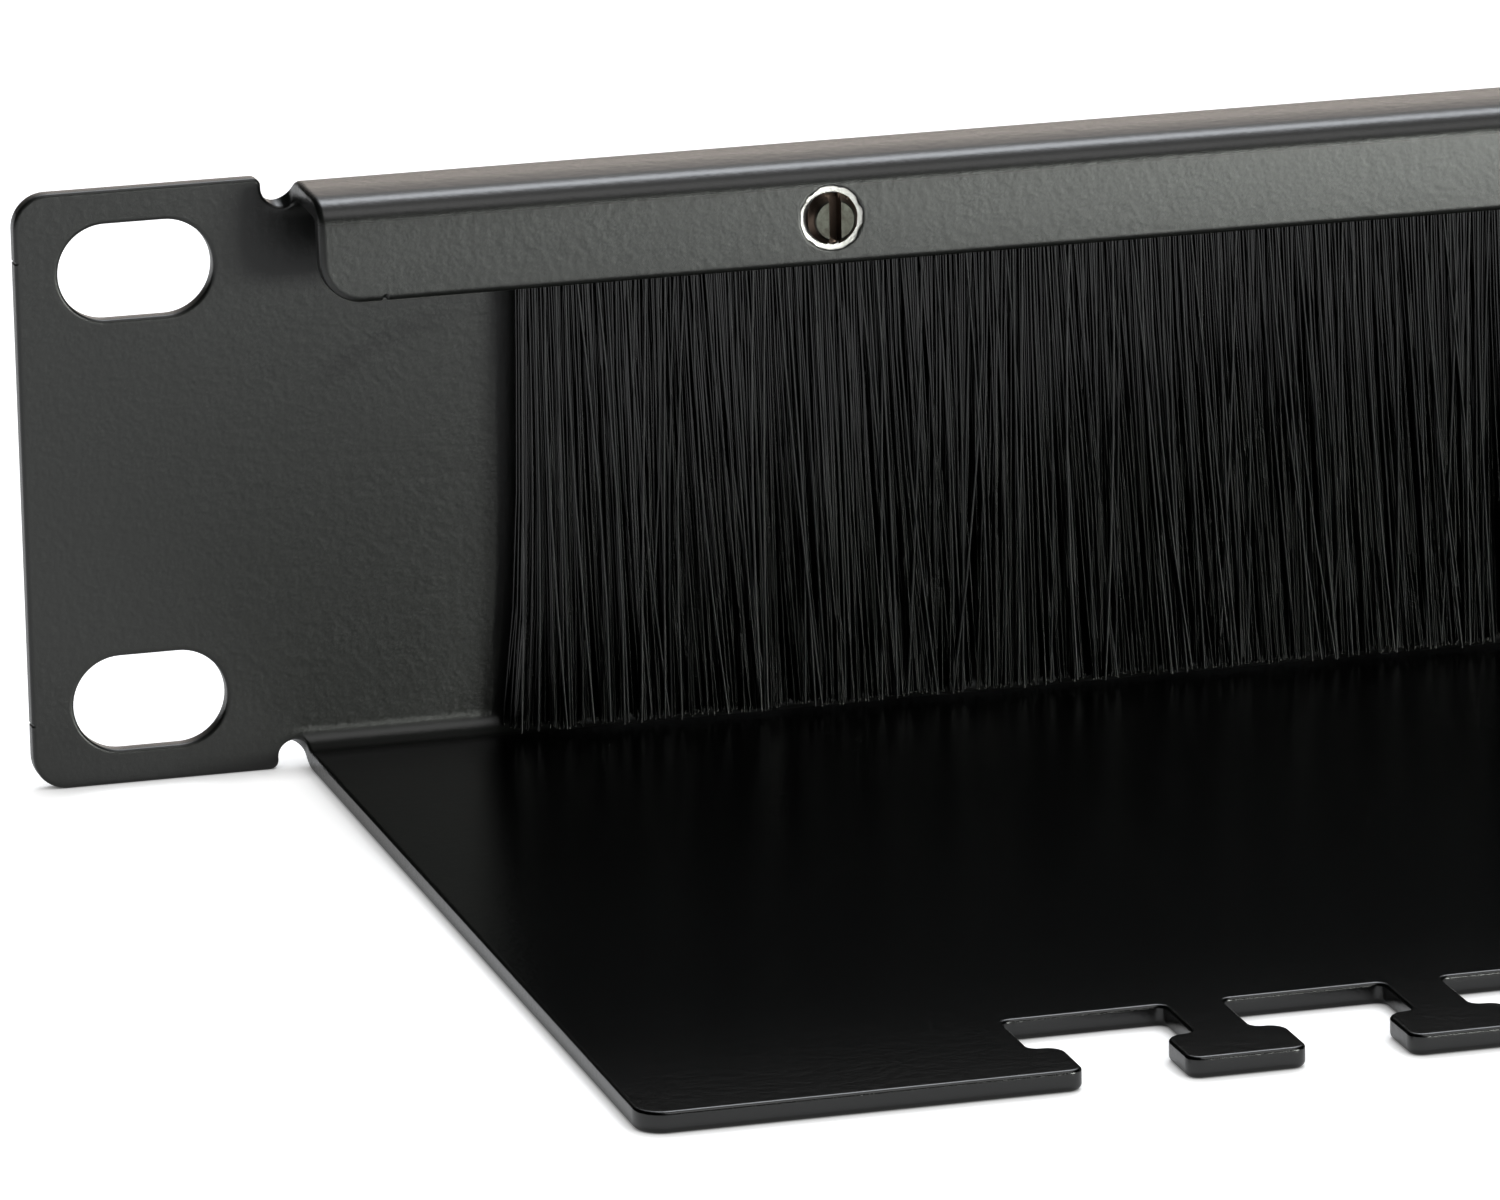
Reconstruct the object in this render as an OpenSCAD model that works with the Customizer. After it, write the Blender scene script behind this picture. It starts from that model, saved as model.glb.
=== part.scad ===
// Rack brush strip panel, one rack unit high.
// One folded steel sheet carries the ears, the face, a lip that grips the strip brush,
// and a tray with T-shaped tie tabs. Set screws in the lip clamp the brush holder.
// Millimetres. +X runs along the panel, -Y points into the rack, +Z is up.
// The origin is the centre of the four rack slots, on the face that meets the rack rails.

/* [Rack fit] */
// Width of the panel over both ears
panel_w = 482.6; // [400:0.1:560]
// Height of the panel, one rack unit less its gap
panel_h = 43.7; // [40:0.1:60]
// Width of each ear, from its end to the side of the folded body
ear_w = 20.05; // [19:0.05:30]
// Radius of the ear's outer corners
ear_r = 2.5; // [0.5:0.1:4]
// Centre of a rack slot from the ear's end
slot_inset = 8.75; // [8:0.05:9.5]
// Distance between the upper and lower rack slots
slot_rise = 31.75; // [20:0.05:32.5]
// Length of a rack slot, end to end
slot_l = 11.3; // [8:0.1:12]
// Width of a rack slot
slot_w = 7; // [5:0.1:7.8]

/* [Sheet] */
// Thickness of the sheet
sheet_t = 1.5; // [1:0.1:2]
// Inside radius of the two folds beside the face
bend_r = 1.5; // [0.6:0.1:2]
// Inside radius of the sharper fold between flange and lip
lip_bend_r = 0.5; // [0.3:0.1:2]
// Width of the relief notch between ear and body
relief_w = 2; // [1.6:0.1:3]
// Depth of the relief notch from the panel's edge
relief_d = 1.9; // [1.6:0.1:4]
// Radius of the small nick that the cutter leaves where an outline closes
nick_r = 0.25; // [0.1:0.05:0.5]
// Cutter's nick on the lip, from the side of the body
lip_nick_x = 4.8; // [4:0.1:12]
// Cutter's nicks on the ear's end, above and below mid height
ear_nick_z = 17; // [5:0.5:17]

/* [Brush channel] */
// Space between face and lip that takes the brush holder
channel_gap = 7; // [5.5:0.1:10]
// Height of the lip, from the top of the panel to its lower edge
lip_h = 7.6; // [6.5:0.1:9]
// How far the lip stops short of the side of the body, at each end
lip_inset = 0.2; // [0:0.05:1]
// Radius of the lip's lower corners
lip_r = 3; // [0.5:0.1:3.5]

/* [Window] */
// How far the brush laps past each end of the window
window_lap = 5; // [1:0.5:20]
// Height of the sill that stays under the window
window_sill = 6; // [4:0.5:12]
// Top of the window below the top of the panel
window_drop = 9; // [8.5:0.5:16]
// Radius of the window's corners
window_r = 3; // [0.5:0.5:6]

/* [Tray] */
// Depth of the tray, from the rail face to its front edge
tray_d = 93; // [40:0.5:160]
// Radius of the tray's front corners
tray_r = 2; // [0.5:0.1:6]

/* [Tie tabs] */
// Plain land from the side of the tray to the first cut-out
tie_land = 27.75; // [10:0.25:40]
// Least width of the plain land in the middle of the tray
tie_mid_land = 20; // [5:1:60]
// Distance from one tie tab to the next
tie_pitch = 15.24; // [14:0.01:22]
// Width of a tab's stem, which the cable tie goes round
tie_stem_w = 4; // [3:0.1:5]
// Width of a tab's head
tie_head_w = 8.2; // [6.6:0.1:9]
// Depth of a tab's head, front to back
tie_head_d = 5.5; // [4:0.1:8]
// Length of the stem that is open on both sides
tie_stem_l = 6.5; // [4.5:0.1:12]
// Radius of the head's rear corners
tie_hook_r = 1.3; // [0.3:0.1:2]
// Radius of the head's front corners
tie_front_r = 1; // [0.2:0.1:1.3]
// Radius in the corner between stem and head
tie_fillet_r = 0.75; // [0.2:0.05:1.5]
// Radius in the cut-out's rear corners
tie_root_r = 0.4; // [0.2:0.1:1.5]

/* [Strip brush] */
// Distance from the side of the body to the end of the brush
brush_inset = 16.25; // [8:0.25:30]
// Depth of the brush holder, from the face outwards
holder_d = 4; // [3:0.1:5]
// Height of the brush holder
holder_h = 5.8; // [5:0.1:7]
// Wall of the brush holder
holder_wall = 0.7; // [0.4:0.05:0.8]
// Clearance between the holder's back and the fold above it
holder_top_gap = 0.2; // [0.1:0.05:0.6]
// Diameter of the wire that the bristles are folded over
wire_d = 1.2; // [0.8:0.1:1.6]
// Clearance round the bristle roots, against the holder and the wire
pinch_gap = 0.05; // [0.02:0.01:0.1]
// Clearance between the bristle tips and the tray
tip_gap = 0.5; // [0.3:0.1:4]
// How far the raggedest tips stay back from the longest ones
tip_rag = 0.9; // [0.2:0.1:2]
// Width of one bundle of bristles
bundle_w = 3.5; // [3.4:0.1:9]
// Depth of the grooves between bundles
groove_d = 0.5; // [0.2:0.05:0.8]
// Widest parting between two bundles, at the tips
parting_w = 0.55; // [0.2:0.05:1.2]
// Height of the shortest parting above the tips
parting_low = 5; // [3:0.5:8]
// Height of the tallest parting above the tips
parting_high = 21; // [10:0.5:22]

/* [Set screws] */
// Number of set screws along the lip
screw_count = 4; // [4:1:4]
// Distance from the end of the brush to the outer set screws
screw_inset = 21.5; // [10:0.5:60]
// Centre of the set screws below the top of the panel
screw_drop = 4.2; // [3.8:0.1:4.6]
// Diameter of the screw, taken at the thread's flanks
screw_d = 3.5; // [3:0.1:3.6]
// Clearance of the screw in its tapped hole, on the radius
screw_gap = 0.03; // [0.01:0.01:0.1]
// How far the slotted end stands out of the lip's face
screw_proud = 1.15; // [0:0.05:1.5]
// Width of the driver slot
screw_slot_w = 0.8; // [0.4:0.1:1]
// Depth of the driver slot
screw_slot_d = 1.3; // [0.6:0.1:1.5]
// Chamfer on both ends of the screw
screw_chamfer = 0.35; // [0.1:0.05:0.6]
// Bare countersink round the tapped hole, on the radius
sink_w = 0.55; // [0.1:0.05:0.6]

/* [Hidden] */
$fn = 48;
eps = 0.5;

coat = [0.16, 0.17, 0.165];
zinc = [0.55, 0.56, 0.56];
steel = [0.62, 0.6, 0.56];
nylon = [0.06, 0.06, 0.065];

// the panel stands on base_z and ends at top_z; the body is what is folded
base_z = -panel_h / 2;
top_z = panel_h / 2;
body_w = panel_w - 2 * ear_w;
fold_r = bend_r + sheet_t;
lip_fold_r = lip_bend_r + sheet_t;
lip_w = body_w - 2 * lip_inset;
lip_y = -(channel_gap + sheet_t);
lip_z = top_z - lip_h;
tray_top = base_z + sheet_t;

// the brush hangs between the face and the ends of the set screws
brush_w = body_w - 2 * brush_inset;
holder_top = top_z - sheet_t - holder_top_gap;
holder_z = holder_top - holder_h;
pack_d = holder_d - 2 * holder_wall;
pack_y = -holder_d / 2;
wire_z = holder_top - holder_d / 2;
tip_z = tray_top + tip_gap;

window_w = brush_w - 2 * window_lap;
window_h = panel_h - window_sill - window_drop;

// cut-outs run in two rows, from both ends of the tray towards its middle
tie_cut_w = tie_pitch - tie_stem_w;
tie_cut_d = tie_stem_l + tie_head_d;
tie_hook = (tie_head_w - tie_stem_w) / 2;
hook_r = min(tie_hook_r, tie_hook * 0.62);
web_r = min(tie_fillet_r, tie_hook * 0.38);
tie_count = 1 + floor((body_w / 2 - tie_land - tie_mid_land / 2 - tie_cut_w) / tie_pitch);

screw_z = top_z - screw_drop;
screw_pitch = (brush_w - 2 * screw_inset) / (screw_count - 1);
screw_y = lip_y - screw_proud;
screw_l = -holder_d - screw_y;

bundle_count = floor(brush_w / bundle_w);
bundle_pitch = brush_w / bundle_count;

function screw_x(i) = -brush_w / 2 + screw_inset + i * screw_pitch;

// a repeatable scatter between 0 and 1, for the uneven cut of the bristles
function scatter(i, k) = let (s = abs(sin(i * 127.1 + k * 311.7)) * 43.758) s - floor(s);

// extrudes a section drawn in Y and Z along the panel
module along_x(length) {
    rotate([90, 0, 90]) linear_extrude(height = length, center = true) children();
}

// extrudes an outline drawn in X and Z from y_low to y_high
module through_y(y_low, y_high) {
    translate([0, y_high, 0]) rotate([90, 0, 0]) linear_extrude(height = y_high - y_low) children();
}

// extrudes an outline drawn in X and Y through the tray
module through_tray() {
    translate([0, 0, base_z - eps]) linear_extrude(height = sheet_t + 2 * eps) children();
}

module box(x, y) {
    translate([x[0], y[0]]) square([x[1] - x[0], y[1] - y[0]]);
}

module rounded_rect(w, h, r) {
    square([w - 2 * r, h], center = true);
    square([w, h - 2 * r], center = true);
    for (sx = [-1, 1], sy = [-1, 1]) translate([sx * (w / 2 - r), sy * (h / 2 - r)]) circle(r);
}

// what is cut away to round a corner that points to +X and +Y at the origin
module corner_cut(r) {
    difference() {
        translate([-r, -r]) square(r + eps);
        translate([-r, -r]) circle(r);
    }
}

// a quarter of a fold of inside radius r, centred at the origin, towards qy and qz
module fold(r, qy, qz) {
    outer_r = r + sheet_t;
    intersection() {
        difference() {
            circle(outer_r);
            circle(r);
        }
        box([min(0, qy * outer_r), max(0, qy * outer_r)], [min(0, qz * outer_r), max(0, qz * outer_r)]);
    }
}

// section of the tray and the fold that joins it to the face
module tray_section() {
    box([-tray_d, -bend_r], [base_z, tray_top]);
    translate([-bend_r, base_z + fold_r]) fold(bend_r, 1, -1);
}

// section of the flange over the brush, the lip in front of it and their folds
module lip_section() {
    translate([-bend_r, top_z - fold_r]) fold(bend_r, 1, 1);
    box([lip_y + lip_fold_r, -bend_r], [top_z - sheet_t, top_z]);
    translate([lip_y + lip_fold_r, top_z - lip_fold_r]) fold(lip_bend_r, -1, 1);
    box([lip_y, lip_y + sheet_t], [lip_z, top_z - lip_fold_r]);
}

// flat face with its ears; the body's top and bottom edges belong to the folds
module face_outline() {
    difference() {
        rounded_rect(panel_w, panel_h, ear_r);
        for (side = [-1, 1])
            translate([0, side * (top_z - fold_r / 2 + eps / 2)])
                square([side > 0 ? lip_w : body_w, fold_r + eps], center = true);
        for (side = [-1, 1]) {
            translate([side * ((body_w + relief_w) / 2), base_z]) relief_notch(relief_w, 1);
            translate([side * ((lip_w + body_w) / 4 + relief_w / 2), top_z])
                relief_notch(relief_w + lip_inset, -1);
        }
        for (sx = [-1, 1], sz = [-1, 1])
            translate([sx * (panel_w / 2 - slot_inset), sz * slot_rise / 2]) rack_slot();
        for (sx = [-1, 1], sz = [-1, 1])
            translate([sx * panel_w / 2, sz * ear_nick_z]) circle(nick_r);
        translate([0, (window_sill - window_drop) / 2])
            rounded_rect(window_w, window_h, window_r);
    }
}

// round-bottomed notch of width w that runs from the panel's edge towards dir
module relief_notch(w, dir) {
    bottom = relief_d - w / 2;
    translate([0, dir * bottom]) circle(w / 2);
    translate([0, dir * (bottom - eps) / 2]) square([w, bottom + eps], center = true);
}

module rack_slot() {
    square([slot_l - slot_w, slot_w], center = true);
    for (side = [-1, 1]) translate([side * (slot_l - slot_w) / 2, 0]) circle(slot_w / 2);
}

// one cut-out between two tie tabs, with the middle of its rear edge at the origin
module tie_cutout() {
    difference() {
        box([-tie_cut_w / 2, tie_cut_w / 2], [-tie_cut_d - eps, 0]);
        for (turn = [0, 1]) mirror([turn, 0]) {
            translate([-tie_cut_w / 2, -tie_stem_l]) tab_hook();
            translate([tie_cut_w / 2, 0]) corner_cut(tie_root_r);
        }
    }
}

// half of a tab's head where it stands out from the stem, growing to +X and -Y
module tab_hook() {
    difference() {
        box([-eps, tie_hook], [-tie_head_d, 0]);
        translate([tie_hook, 0]) corner_cut(hook_r);
        translate([tie_hook, -tie_head_d]) mirror([0, 1]) corner_cut(tie_front_r);
    }
    difference() {
        box([-eps, web_r], [-eps, web_r]);
        translate([web_r, web_r]) circle(web_r);
    }
}

module tray_cuts() {
    for (side = [-1, 1]) {
        mirror([side > 0 ? 0 : 1, 0])
            translate([body_w / 2, -tray_d]) mirror([0, 1]) corner_cut(tray_r);
        for (i = [0 : tie_count - 1])
            translate([side * (body_w / 2 - tie_land - tie_cut_w / 2 - i * tie_pitch), tie_cut_d - tray_d])
                tie_cutout();
    }
}

module lip_cuts() {
    for (side = [-1, 1]) mirror([side > 0 ? 0 : 1, 0]) {
        translate([lip_w / 2, lip_z]) mirror([0, 1]) corner_cut(lip_r);
        translate([body_w / 2 - lip_nick_x, lip_z]) circle(nick_r);
    }
}

// tapped hole with the bare countersink that cuts through the coat
module tapped_hole() {
    rotate([-90, 0, 0]) {
        translate([0, 0, -eps]) cylinder(h = sheet_t + 2 * eps, r = screw_d / 2 + screw_gap);
        cylinder(h = sink_w, r1 = screw_d / 2 + screw_gap + sink_w, r2 = screw_d / 2 + screw_gap);
        translate([0, 0, -eps]) cylinder(h = eps, r = screw_d / 2 + screw_gap + sink_w);
    }
}

module panel() {
    color(coat) difference() {
        union() {
            through_y(0, sheet_t) face_outline();
            along_x(body_w) tray_section();
            along_x(lip_w) lip_section();
        }
        through_tray() tray_cuts();
        through_y(lip_y - eps, lip_y + sheet_t + eps) lip_cuts();
        for (i = [0 : screw_count - 1]) translate([screw_x(i), lip_y, screw_z]) tapped_hole();
    }
}

// round-backed outline about the wire's centre, with straight legs down to low_z
module root_outline(r, low_z) {
    translate([pack_y, wire_z]) circle(r);
    box([pack_y - r, pack_y + r], [low_z, wire_z]);
}

// folded channel, closed at the top, whose legs pinch the bristles
module brush_holder() {
    color(zinc) along_x(brush_w) difference() {
        root_outline(holder_d / 2, holder_z);
        root_outline(holder_d / 2 - holder_wall, holder_z - eps);
    }
}

module core_wire() {
    color(steel) translate([0, pack_y, wire_z]) rotate([0, 90, 0])
        cylinder(h = brush_w, d = wire_d, center = true);
}

// one long face of the pack, seen from above: two ridges to a bundle, grooves between bundles
function ridge_line(side) = [
    for (k = [0 : bundle_count - 1]) let (
        x = -brush_w / 2 + k * bundle_pitch,
        split = 0.4 + 0.2 * scatter(k, side)
    ) each [
        [x, ridge_y(side, groove_d)],
        [x + bundle_pitch * split / 2, ridge_y(side, groove_d / 3 * scatter(k, side + 4))],
        [x + bundle_pitch * split, ridge_y(side, groove_d / 2)],
        [x + bundle_pitch * (1 + split) / 2, ridge_y(side, groove_d / 3 * scatter(k, side + 8))]
    ],
    [brush_w / 2, ridge_y(side, groove_d)]
];

function ridge_y(side, depth) = pack_y + side * (pack_d / 2 - pinch_gap - depth);

function reversed(list) = [for (i = [len(list) - 1 : -1 : 0]) list[i]];

// where the parting before bundle k starts at the tips, and how high it runs
function parting_half(k) = parting_w * (0.4 + 0.6 * scatter(k, 1)) / 2;
function parting_z(k) = tip_z + parting_low + (parting_high - parting_low) * pow(scatter(k, 2), 2);
function cut_z(k, n) = tip_z + tip_rag * scatter(k, n);

// the pack seen from the front: uneven tips, with a narrow parting between bundles
module tip_outline() {
    polygon([
        [-brush_w / 2, holder_z],
        for (k = [0 : bundle_count - 1]) let (x = -brush_w / 2 + k * bundle_pitch) each [
            [k == 0 ? x : x + parting_half(k), cut_z(k, 3)],
            [x + bundle_pitch * (0.35 + 0.3 * scatter(k, 4)), cut_z(k, 5) - tip_rag / 4],
            [x + bundle_pitch - (k == bundle_count - 1 ? 0 : parting_half(k + 1)), cut_z(k, 6)],
            if (k < bundle_count - 1) [x + bundle_pitch, parting_z(k + 1)]
        ],
        [brush_w / 2, holder_z]
    ]);
}

// the folded roots round the wire, and the free length below the holder
module bristles() {
    color(nylon) union() {
        along_x(brush_w) difference() {
            root_outline(pack_d / 2 - pinch_gap, holder_z - eps);
            translate([pack_y, wire_z]) circle(wire_d / 2 + pinch_gap);
        }
        intersection() {
            translate([0, 0, base_z]) linear_extrude(height = holder_z - base_z)
                polygon(concat(ridge_line(-1), reversed(ridge_line(1))));
            through_y(-holder_d, 0) tip_outline();
        }
    }
}

// headless screw with a driver slot in its outer end, standing on the holder with the other
module set_screw(i) {
    color(steel) translate([screw_x(i), screw_y, screw_z]) rotate([-90, 0, 0]) difference() {
        rotate_extrude() polygon([
            [0, 0],
            [screw_d / 2 - screw_chamfer, 0],
            [screw_d / 2, screw_chamfer],
            [screw_d / 2, screw_l - screw_chamfer],
            [screw_d / 2 - screw_chamfer, screw_l],
            [0, screw_l]
        ]);
        translate([-screw_slot_w / 2, -screw_d, -eps]) cube([screw_slot_w, 2 * screw_d, screw_slot_d + eps]);
    }
}

panel();
brush_holder();
core_wire();
bristles();
set_screw(0);  // set_screw_1
set_screw(1);  // set_screw_2
set_screw(2);  // set_screw_3
set_screw(3);  // set_screw_4
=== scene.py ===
"""Rack brush strip panel in the studio: the folded sheet, its strip brush and its set screws."""

import math
from functools import partial

import bmesh
import bpy
import numpy as np
from mathutils import Matrix, Vector
from mathutils.geometry import delaunay_2d_cdt


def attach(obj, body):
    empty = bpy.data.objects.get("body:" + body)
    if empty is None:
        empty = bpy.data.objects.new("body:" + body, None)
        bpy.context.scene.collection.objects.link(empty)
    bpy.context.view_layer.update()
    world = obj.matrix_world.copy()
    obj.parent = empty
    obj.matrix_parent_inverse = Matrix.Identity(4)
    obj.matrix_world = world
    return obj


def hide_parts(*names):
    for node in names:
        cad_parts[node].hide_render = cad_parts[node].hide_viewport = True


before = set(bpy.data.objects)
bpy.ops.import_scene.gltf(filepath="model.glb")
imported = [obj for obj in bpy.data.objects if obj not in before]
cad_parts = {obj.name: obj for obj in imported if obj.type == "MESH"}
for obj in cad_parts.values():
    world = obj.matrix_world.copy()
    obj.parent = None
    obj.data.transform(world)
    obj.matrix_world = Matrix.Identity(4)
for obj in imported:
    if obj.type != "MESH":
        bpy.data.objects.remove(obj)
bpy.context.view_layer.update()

# ---------------------------------------------------------------- sizes, in millimetres
MM = 0.001

SHEET = 1.5
BEND = 1.5                                   # inside radius of the two folds beside the face
LIP_BEND = 0.5                               # inside radius of the fold between flange and lip
NEUTRAL = BEND + SHEET / 2
LIP_NEUTRAL = LIP_BEND + SHEET / 2
INNER_ROUND = 0.24                           # how far coated cut edges are rounded towards the inner side
OUTER_ROUND = 0.42                           # and towards the outer side, where the cutter rolled them over
EDGE_BAND = 0.12                             # flat band kept beside each rounded edge, each arc and each fold
EDGE_STEPS = 5                               # facets of each rounding
GUARD_ROOM = 0.32                            # straight edge that an arc needs beside it for such a band

HALF_PANEL = 241.3
HALF_BODY = 221.25
HALF_HEIGHT = 21.85
HALF_LIP = HALF_BODY - 0.2
NOTCH_SIDE = HALF_BODY + 2.0
NOTCH_END = HALF_HEIGHT - 1.9
FACE_END = HALF_HEIGHT - BEND - SHEET        # where the face runs into its folds
FLANGE = 5.0
TRAY_FLAT = 91.5
LIP_Y = -8.5
LIP_Z = HALF_HEIGHT - 7.6
LIP_TOP = HALF_HEIGHT - LIP_BEND - SHEET     # where the lip runs into the fold above it
EAR_CORNER, LIP_CORNER, TRAY_CORNER, NOTCH_CORNER = 2.5, 3.0, 2.0, 0.6

CROWN_Y, CROWN_R = -3.4, 18.0                # the folds leave the flange slightly crowned
LIP_LEAN, LIP_EASE = 0.11, 0.0065            # and the lip slightly short of square, straightening downwards
LIP_SOFT, LIP_SETTLE = 0.03, 0.5             # with no hard line where it leaves the fold

FOLD = NEUTRAL * math.pi / 2                 # length of sheet in each fold beside the face
LIP_FOLD = LIP_NEUTRAL * math.pi / 2
FLANGE_START = FACE_END + FOLD
FLANGE_END = FLANGE_START + FLANGE
LIP_START = FLANGE_END + LIP_FOLD
LIP_END = LIP_START + LIP_TOP - LIP_Z
TRAY_START = -(FACE_END + FOLD)
TRAY_END = TRAY_START - TRAY_FLAT

SLOT_X = HALF_PANEL - 8.75
SLOT_Z = 15.875
SLOT_REACH = (11.3 - 7) / 2
SLOT_R = 3.5

WINDOW = (200.0, -15.85, 12.85, 3.0)         # half width, bottom, top, corner radius

TIE_PITCH, TIE_COUNT = 15.24, 12
TAB_HEAD, TAB_STEM = 8.2, 4.0                # widths of the T-shaped tabs
HEAD_DEPTH, STEM_DEPTH = 5.5, 6.5
MOUTH = (TIE_PITCH - TAB_HEAD) / 2           # half widths of the cut-out between two tabs
THROAT = (TIE_PITCH - TAB_STEM) / 2
TIE_FIRST = HALF_BODY - 27.75 - THROAT

LIP_NICK = (HALF_BODY - 4.8, 0.2)            # nicks where the cutter started and stopped: place, reach
EAR_NICK = (17.0, 0.1)

BRUSH_HALF = 205.0
HOLDER_TOP = HALF_HEIGHT - SHEET - 0.2
HOLDER_END = HOLDER_TOP - 5.8
ROOT_Z = HOLDER_END + 0.6
TIP_Z = -HALF_HEIGHT + SHEET + 0.5
PACK_FRONT, PACK_REAR = -3.25, -0.75
TUFT_WIDTH = 1.6 * MM
LEAN_DRIFT = 5.0 * MM
SPLAY, SPLAY_PER_ROW = 1.3 * MM, 0.08 * MM   # how far the filaments at the brush's ends splay outwards
SPLAY_FADE, CALM_FADE = 2.2 * MM, 4.0 * MM   # how soon that fades, and the other leans set in, from an end
CLUMP_DRAW = 0.86                            # how nearly a clump's filaments meet
TIPS_UNEVEN = 0.7 * MM
LENGTHS, ROWS, PER_ROW = 5, 8, 400           # lengths of the brush, and how their filaments are packed
LOOSE = 110                                  # filaments that hang loose before each length

SCREW_X = [-183.5 + i * 367 / 3 for i in range(4)]
SCREW_Z = HALF_HEIGHT - 4.2
SCREW_OUT = LIP_Y - 1.15
SCREW_IN = -4.0
HOLE_R = 1.8
SINK_R = 2.33
HOLE_STEPS = 56                              # facets round each hole
THREAD_PITCH, THREAD_CREST, THREAD_ROOT = 0.7, 1.9, 1.52
SCREW_STEPS = 48
DRIVER_SLOT = (0.9, 1.3)                     # width, depth
SWARF = ((-0.05, 0.55, -1.62, 0.34), (1.05, 0.95, 1.35, 0.24),      # x, depth, z and size of each lump
         (0.75, 0.75, 1.5, 0.15), (-1.5, 1.0, -1.0, 0.12))

# ---------------------------------------------------------------- finish, light and camera
FACE_ROUGHNESS, TRAY_ROUGHNESS = 0.30, 0.15
FACE_GRAIN, TRAY_GRAIN = 0.15, 0.10
# the tray is coloured darker than the faces of the same coat: painted shade, bounded by COAT_AHEAD and
# COAT_TRAY
FACE_COLOUR, SCUFF_AND_TRAY_SHADE_COLOUR = (0.0115, 0.0123, 0.0112), (0.0012, 0.0014, 0.0013)
COAT_AHEAD = (-1.0 * MM, -4.0 * MM)          # y over which the plate's coat gives way to the glossy one
COAT_TRAY = (-18.2 * MM, -20.2 * MM)         # z over which it does so towards the tray
COAT_FLANGE = ((LIP_TOP - 0.6) * MM, (LIP_TOP + 1.9) * MM)           # and towards the flange
SCUFF_CENTRE, SCUFF_RADIUS = (-206.5, -9.8), 20.8
SCUFF_MIDDLE = (-215.0, 9.3)                 # where along the arc it is rubbed most
FLOOR_LIFT_SEEN, FLOOR_LIFT_MIRRORED = 0.95, 0.38
WARM, PLAIN, COOL, MOSS = (1.12, 1.0, 0.90), (1.0, 1.0, 1.0), (0.96, 1.0, 1.05), (0.98, 1.02, 0.95)
CAMERA_PLACE, CAMERA_AIM = (-379.474, -698.236, 177.992), (-190.78, -11.10, -9.37)
CAMERA_LENS, CAMERA_SENSOR, CAMERA_ROLL = 246.27, 36.0, -1.132       # roll in degrees

# ---------------------------------------------------------------- nodes
def wire(tree, value, socket):
    """Links another socket to this one, or sets it to a plain value."""
    if isinstance(value, bpy.types.NodeSocket):
        tree.links.new(value, socket)
    else:
        socket.default_value = value


def combine(tree, operation, a, b=0.0):
    """A Math node of two values, each of them a socket or a number."""
    n = tree.nodes.new("ShaderNodeMath")
    n.operation = operation
    wire(tree, a, n.inputs[0])
    wire(tree, b, n.inputs[1])
    return n.outputs[0]


def grade(tree, value, start, end, low=0.0, high=1.0, soft=False):
    """Runs from low to high while value runs from start to end; soft eases both ends."""
    n = tree.nodes.new("ShaderNodeMapRange")
    n.interpolation_type = "SMOOTHSTEP" if soft else "LINEAR"
    for socket, number in zip(("From Min", "From Max", "To Min", "To Max"), (start, end, low, high)):
        n.inputs[socket].default_value = number
    tree.links.new(value, n.inputs["Value"])
    return n.outputs[0]


def ramp(tree, value, first, second, start=0.0, end=1.0):
    """Runs from the first colour to the second while value runs from start to end."""
    n = tree.nodes.new("ShaderNodeValToRGB")
    for stop, colour, position in zip(n.color_ramp.elements, (first, second), (start, end)):
        stop.position, stop.color = position, (*colour, 1)
    tree.links.new(value, n.inputs[0])
    return n.outputs[0]


def new_material(name):
    m = bpy.data.materials.new(name)
    m.use_nodes = True
    nodes, links = m.node_tree.nodes, m.node_tree.links
    return m, nodes, links, nodes["Principled BSDF"]


def node(nodes, kind, **values):
    """A shader node; a value named after an input sets that input, any other sets a property."""
    n = nodes.new(kind)
    for key, value in values.items():
        if key.startswith("in_"):
            n.inputs[key[3:].replace("_", " ")].default_value = value
        else:
            setattr(n, key, value)
    return n


def object_place(nodes, links):
    """The point that is shaded, in the object's own frame, whole and split into its three parts."""
    where = node(nodes, "ShaderNodeTexCoord").outputs["Object"]
    split = node(nodes, "ShaderNodeSeparateXYZ")
    links.new(where, split.inputs[0])
    return where, split.outputs


def noise_at(nodes, links, where, **values):
    n = node(nodes, "ShaderNodeTexNoise", **values)
    links.new(where, n.inputs["Vector"])
    return n.outputs["Fac"]


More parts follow.
